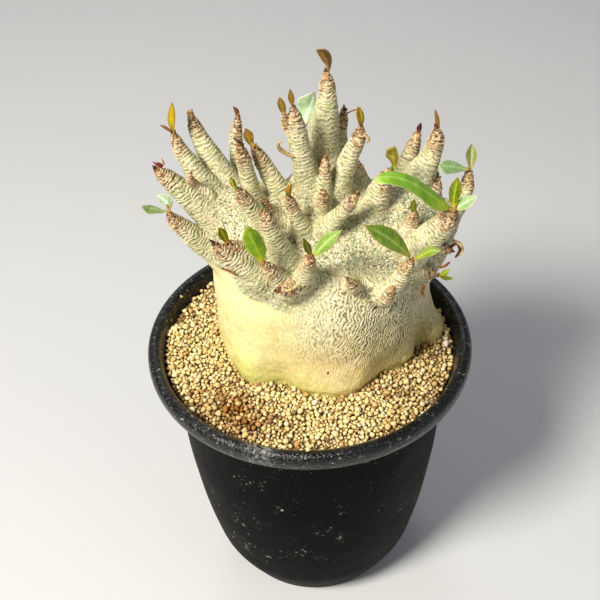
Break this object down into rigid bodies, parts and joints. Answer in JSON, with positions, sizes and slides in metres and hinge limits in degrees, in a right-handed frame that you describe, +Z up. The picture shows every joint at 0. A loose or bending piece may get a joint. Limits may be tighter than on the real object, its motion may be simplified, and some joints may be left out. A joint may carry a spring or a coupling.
{
  "type": "potted desert rose",
  "caption": "Caudex plant with a swollen base, finger-like ringed stems and young leaves, growing in pale grit in a round black nursery pot with a rolled rim.",
  "frame": {"origin": "centre of the pot's foot, on the surface it stands on", "axes": "+Z up, +X to the right and -Y towards the front, seen from the plant's main side"},
  "size_m": [0.15, 0.15, 0.2818],
  "materials": {
    "pot": "near-black moulded plastic, satin, finely pebbled, with dust and light scratches",
    "soil": "small rounded cream and tan grit, matt; wood stands in for its low bulk density",
    "caudex": "smooth cream to yellow-green bark low down, finely pebbled silver-green bark above",
    "stem": "ringed silver-green bark turning tan-brown towards the tip",
    "dry_leaf": "dried, curled and papery, matt",
    "leaf_blue": "pale blue-green underside, satin",
    "leaf_brown": "young orange-brown leaf, satin",
    "leaf_dark": "deep green, softly glossy, thin reddish edge",
    "leaf_green": "bright green, softly glossy",
    "leaf_maroon": "young maroon-brown leaf with a pale edge, satin",
    "leaf_pale": "pale whitish green, satin",
    "leaf_red": "dark red bud, satin",
    "leaf_yellow": "young olive-yellow leaf with brown edges, satin"
  },
  "bodies": {
    "root": {"pot": "pot", "soil": "soil", "caudex": "caudex", "stem_01": "stem", "stem_02": "stem", "stem_03": "stem", "stem_04": "stem", "stem_05": "stem", "stem_06": "stem", "stem_07": "stem", "stem_08": "stem", "stem_09": "stem", "stem_10": "stem", "stem_11": "stem", "stem_12": "stem", "stem_13": "stem", "stem_14": "stem", "stem_15": "stem", "stem_16": "stem", "stem_17": "stem", "stem_18": "stem", "stem_19": "stem", "stem_20": "stem", "stem_21": "stem", "stem_22": "stem", "stem_23": "stem", "stem_24": "stem", "stem_25": "stem", "stem_26": "stem", "leaf_01": "leaf_green", "leaf_02": "leaf_pale", "leaf_03": "leaf_yellow", "leaf_04": "leaf_brown", "leaf_05": "leaf_brown", "leaf_06": "leaf_brown", "leaf_07": "leaf_yellow", "leaf_08": "leaf_brown", "leaf_09": "leaf_yellow", "leaf_10": "leaf_yellow", "leaf_11": "leaf_maroon", "leaf_12": "leaf_yellow", "leaf_13": "leaf_maroon", "leaf_14": "leaf_red", "leaf_15": "leaf_yellow", "leaf_16": "leaf_blue", "leaf_17": "leaf_pale", "leaf_18": "leaf_dark", "leaf_19": "leaf_yellow", "leaf_20": "leaf_pale", "leaf_21": "leaf_yellow", "leaf_22": "leaf_dark", "leaf_23": "leaf_green", "leaf_24": "leaf_green", "leaf_25": "leaf_green", "leaf_26": "leaf_green", "leaf_27": "leaf_dark", "leaf_28": "leaf_green", "leaf_29": "leaf_dark", "leaf_30": "leaf_blue", "dry_leaf_01": "dry_leaf"}
  },
  "joints": []
}
